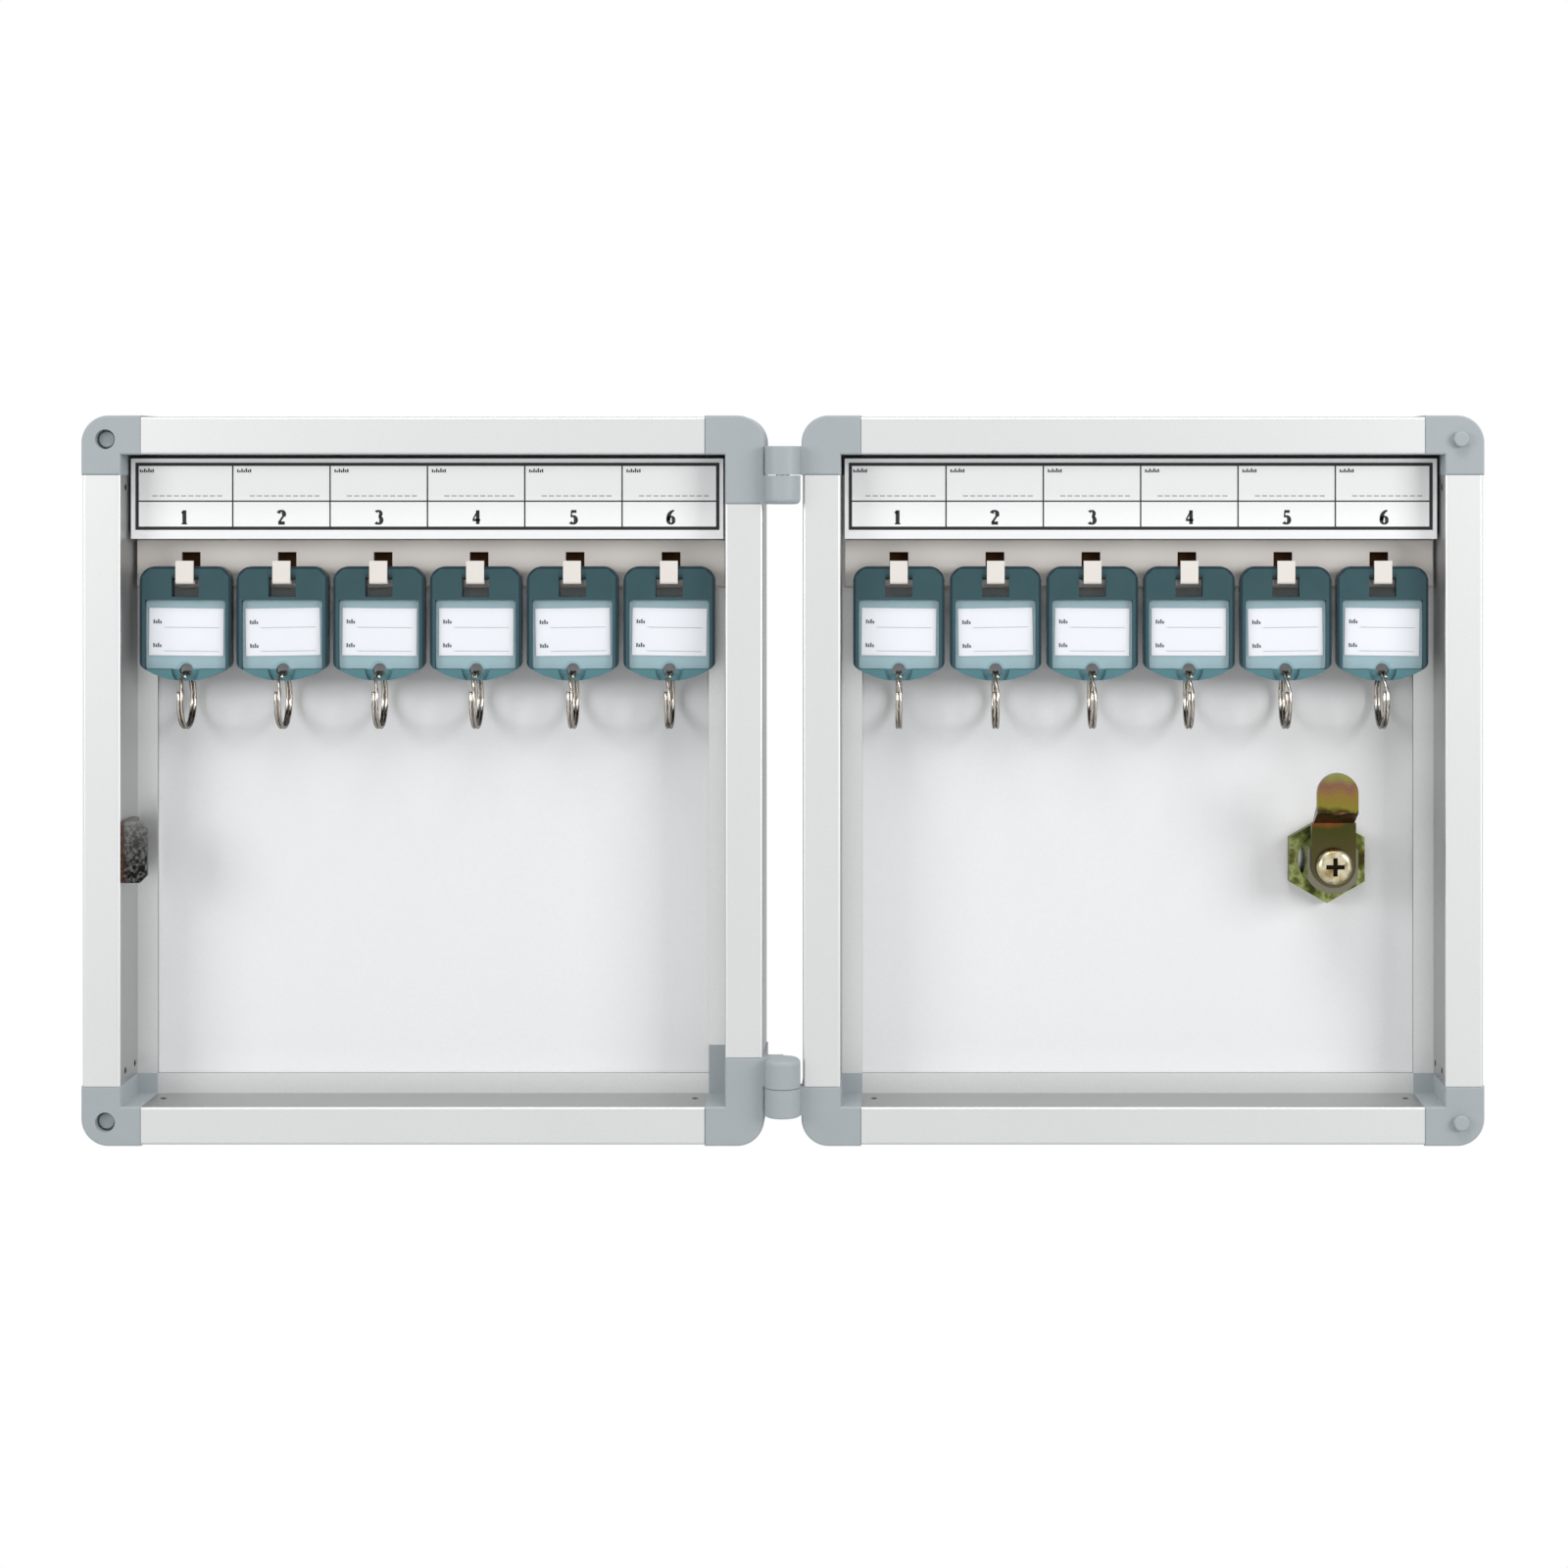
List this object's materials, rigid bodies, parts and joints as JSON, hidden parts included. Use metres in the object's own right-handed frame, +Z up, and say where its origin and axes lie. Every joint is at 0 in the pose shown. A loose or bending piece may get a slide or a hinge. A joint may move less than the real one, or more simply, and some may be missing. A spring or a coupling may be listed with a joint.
{
  "type": "wall key box",
  "caption": "Flat aluminium-framed wall key box that opens like a book, with hook rails, label cards, key tags on split rings and a cam lock.",
  "frame": {"origin": "midway between the two hanger holes, on the wall plane", "axes": "+X to the right, +Y into the wall, +Z up; the open box faces -Y"},
  "size_m": [0.4109, 0.031, 0.214],
  "materials": {
    "satin_aluminium": "satin anodised",
    "corner_plastic": "fine matt moulded",
    "white_panel": "fine textured",
    "label_frame": "smooth white",
    "card": "printed card",
    "cream_steel": "smooth painted",
    "tag_plastic": "clear tinted",
    "nickel_wire": "bright nickel",
    "yellow_zinc": "yellow passivated zinc",
    "lock_chrome": "bright",
    "dark_steel": "worn raw",
    "bright_steel": "zinc plated"
  },
  "bodies": {
    "body": {"body_corner_bottom_left": "corner_plastic", "body_corner_screws": "bright_steel", "body_corner_top_left": "corner_plastic", "body_hinge_corner_bottom": "corner_plastic", "body_hinge_corner_top": "corner_plastic", "body_hook_rail": "cream_steel", "body_label_card": "card", "body_label_holder": "label_frame", "body_panel": "white_panel", "body_rail_bottom": "satin_aluminium", "body_rail_left": "satin_aluminium", "body_rail_right": "satin_aluminium", "body_rail_top": "satin_aluminium", "hanger_plates": "bright_steel", "hanger_rivets": "bright_steel", "hinge_pins": "bright_steel", "strike": "dark_steel", "strike_rivets": "bright_steel"},
    "door": {"door_corner_bottom_right": "corner_plastic", "door_corner_screws": "bright_steel", "door_corner_top_right": "corner_plastic", "door_hinge_corner_bottom": "corner_plastic", "door_hinge_corner_top": "corner_plastic", "door_hook_rail": "cream_steel", "door_label_card": "card", "door_label_holder": "label_frame", "door_panel": "white_panel", "door_rail_bottom": "satin_aluminium", "door_rail_left": "satin_aluminium", "door_rail_right": "satin_aluminium", "door_rail_top": "satin_aluminium", "lock_barrel": "lock_chrome", "lock_nut": "yellow_zinc"},
    "lock": {"lock_plug": "lock_chrome", "lock_cam": "yellow_zinc", "lock_cam_screw": "yellow_zinc"},
    "body_ring_1": {"body_ring_1": "nickel_wire"},
    "body_ring_2": {"body_ring_2": "nickel_wire"},
    "body_ring_3": {"body_ring_3": "nickel_wire"},
    "body_ring_4": {"body_ring_4": "nickel_wire"},
    "body_ring_5": {"body_ring_5": "nickel_wire"},
    "body_ring_6": {"body_ring_6": "nickel_wire"},
    "body_tag_1": {"body_tag_1": "tag_plastic"},
    "body_tag_2": {"body_tag_2": "tag_plastic"},
    "body_tag_3": {"body_tag_3": "tag_plastic"},
    "body_tag_4": {"body_tag_4": "tag_plastic"},
    "body_tag_5": {"body_tag_5": "tag_plastic"},
    "body_tag_6": {"body_tag_6": "tag_plastic"},
    "door_ring_1": {"door_ring_1": "nickel_wire"},
    "door_ring_2": {"door_ring_2": "nickel_wire"},
    "door_ring_3": {"door_ring_3": "nickel_wire"},
    "door_ring_4": {"door_ring_4": "nickel_wire"},
    "door_ring_5": {"door_ring_5": "nickel_wire"},
    "door_ring_6": {"door_ring_6": "nickel_wire"},
    "door_tag_1": {"door_tag_1": "tag_plastic"},
    "door_tag_2": {"door_tag_2": "tag_plastic"},
    "door_tag_3": {"door_tag_3": "tag_plastic"},
    "door_tag_4": {"door_tag_4": "tag_plastic"},
    "door_tag_5": {"door_tag_5": "tag_plastic"},
    "door_tag_6": {"door_tag_6": "tag_plastic"}
  },
  "joints": [
    {"name": "door_swing", "type": "hinge", "parent": "body", "child": "door", "pos_m": [0.10545, -0.0259, -0.10105], "axis": [0, 0, -1], "range_deg": [0, 180]},
    {"name": "cam_turn", "type": "hinge", "parent": "door", "child": "lock", "pos_m": [0.2672, -0.0255, -0.12635], "axis": [0, 1, 0], "range_deg": [0, 90]},
    {"name": "body_tag_1_swing", "type": "hinge", "parent": "body", "child": "body_tag_1", "pos_m": [-0.0715, -0.0155, -0.0407], "axis": [1, 0, 0], "range_deg": [-20, 0]},
    {"name": "body_ring_1_swing", "type": "hinge", "parent": "body_tag_1", "child": "body_ring_1", "pos_m": [-0.0715, -0.0155, -0.06985], "axis": [1, 0, 0], "range_deg": [-25, 10]},
    {"name": "body_tag_2_swing", "type": "hinge", "parent": "body", "child": "body_tag_2", "pos_m": [-0.0429, -0.0155, -0.0407], "axis": [1, 0, 0], "range_deg": [-20, 0]},
    {"name": "body_ring_2_swing", "type": "hinge", "parent": "body_tag_2", "child": "body_ring_2", "pos_m": [-0.0429, -0.0155, -0.06985], "axis": [1, 0, 0], "range_deg": [-25, 10]},
    {"name": "body_tag_3_swing", "type": "hinge", "parent": "body", "child": "body_tag_3", "pos_m": [-0.0143, -0.0155, -0.0407], "axis": [1, 0, 0], "range_deg": [-20, 0]},
    {"name": "body_ring_3_swing", "type": "hinge", "parent": "body_tag_3", "child": "body_ring_3", "pos_m": [-0.0143, -0.0155, -0.06985], "axis": [1, 0, 0], "range_deg": [-25, 10]},
    {"name": "body_tag_4_swing", "type": "hinge", "parent": "body", "child": "body_tag_4", "pos_m": [0.0143, -0.0155, -0.0407], "axis": [1, 0, 0], "range_deg": [-20, 0]},
    {"name": "body_ring_4_swing", "type": "hinge", "parent": "body_tag_4", "child": "body_ring_4", "pos_m": [0.0143, -0.0155, -0.06985], "axis": [1, 0, 0], "range_deg": [-25, 10]},
    {"name": "body_tag_5_swing", "type": "hinge", "parent": "body", "child": "body_tag_5", "pos_m": [0.0429, -0.0155, -0.0407], "axis": [1, 0, 0], "range_deg": [-20, 0]},
    {"name": "body_ring_5_swing", "type": "hinge", "parent": "body_tag_5", "child": "body_ring_5", "pos_m": [0.0429, -0.0155, -0.06985], "axis": [1, 0, 0], "range_deg": [-25, 10]},
    {"name": "body_tag_6_swing", "type": "hinge", "parent": "body", "child": "body_tag_6", "pos_m": [0.0715, -0.0155, -0.0407], "axis": [1, 0, 0], "range_deg": [-20, 0]},
    {"name": "body_ring_6_swing", "type": "hinge", "parent": "body_tag_6", "child": "body_ring_6", "pos_m": [0.0715, -0.0155, -0.06985], "axis": [1, 0, 0], "range_deg": [-25, 10]},
    {"name": "door_tag_1_swing", "type": "hinge", "parent": "door", "child": "door_tag_1", "pos_m": [0.1394, -0.0155, -0.0407], "axis": [1, 0, 0], "range_deg": [-20, 0]},
    {"name": "door_ring_1_swing", "type": "hinge", "parent": "door_tag_1", "child": "door_ring_1", "pos_m": [0.1394, -0.0155, -0.06985], "axis": [1, 0, 0], "range_deg": [-25, 10]},
    {"name": "door_tag_2_swing", "type": "hinge", "parent": "door", "child": "door_tag_2", "pos_m": [0.168, -0.0155, -0.0407], "axis": [1, 0, 0], "range_deg": [-20, 0]},
    {"name": "door_ring_2_swing", "type": "hinge", "parent": "door_tag_2", "child": "door_ring_2", "pos_m": [0.168, -0.0155, -0.06985], "axis": [1, 0, 0], "range_deg": [-25, 10]},
    {"name": "door_tag_3_swing", "type": "hinge", "parent": "door", "child": "door_tag_3", "pos_m": [0.1966, -0.0155, -0.0407], "axis": [1, 0, 0], "range_deg": [-20, 0]},
    {"name": "door_ring_3_swing", "type": "hinge", "parent": "door_tag_3", "child": "door_ring_3", "pos_m": [0.1966, -0.0155, -0.06985], "axis": [1, 0, 0], "range_deg": [-25, 10]},
    {"name": "door_tag_4_swing", "type": "hinge", "parent": "door", "child": "door_tag_4", "pos_m": [0.2252, -0.0155, -0.0407], "axis": [1, 0, 0], "range_deg": [-20, 0]},
    {"name": "door_ring_4_swing", "type": "hinge", "parent": "door_tag_4", "child": "door_ring_4", "pos_m": [0.2252, -0.0155, -0.06985], "axis": [1, 0, 0], "range_deg": [-25, 10]},
    {"name": "door_tag_5_swing", "type": "hinge", "parent": "door", "child": "door_tag_5", "pos_m": [0.2538, -0.0155, -0.0407], "axis": [1, 0, 0], "range_deg": [-20, 0]},
    {"name": "door_ring_5_swing", "type": "hinge", "parent": "door_tag_5", "child": "door_ring_5", "pos_m": [0.2538, -0.0155, -0.06985], "axis": [1, 0, 0], "range_deg": [-25, 10]},
    {"name": "door_tag_6_swing", "type": "hinge", "parent": "door", "child": "door_tag_6", "pos_m": [0.2824, -0.0155, -0.0407], "axis": [1, 0, 0], "range_deg": [-20, 0]},
    {"name": "door_ring_6_swing", "type": "hinge", "parent": "door_tag_6", "child": "door_ring_6", "pos_m": [0.2824, -0.0155, -0.06985], "axis": [1, 0, 0], "range_deg": [-25, 10]}
  ]
}
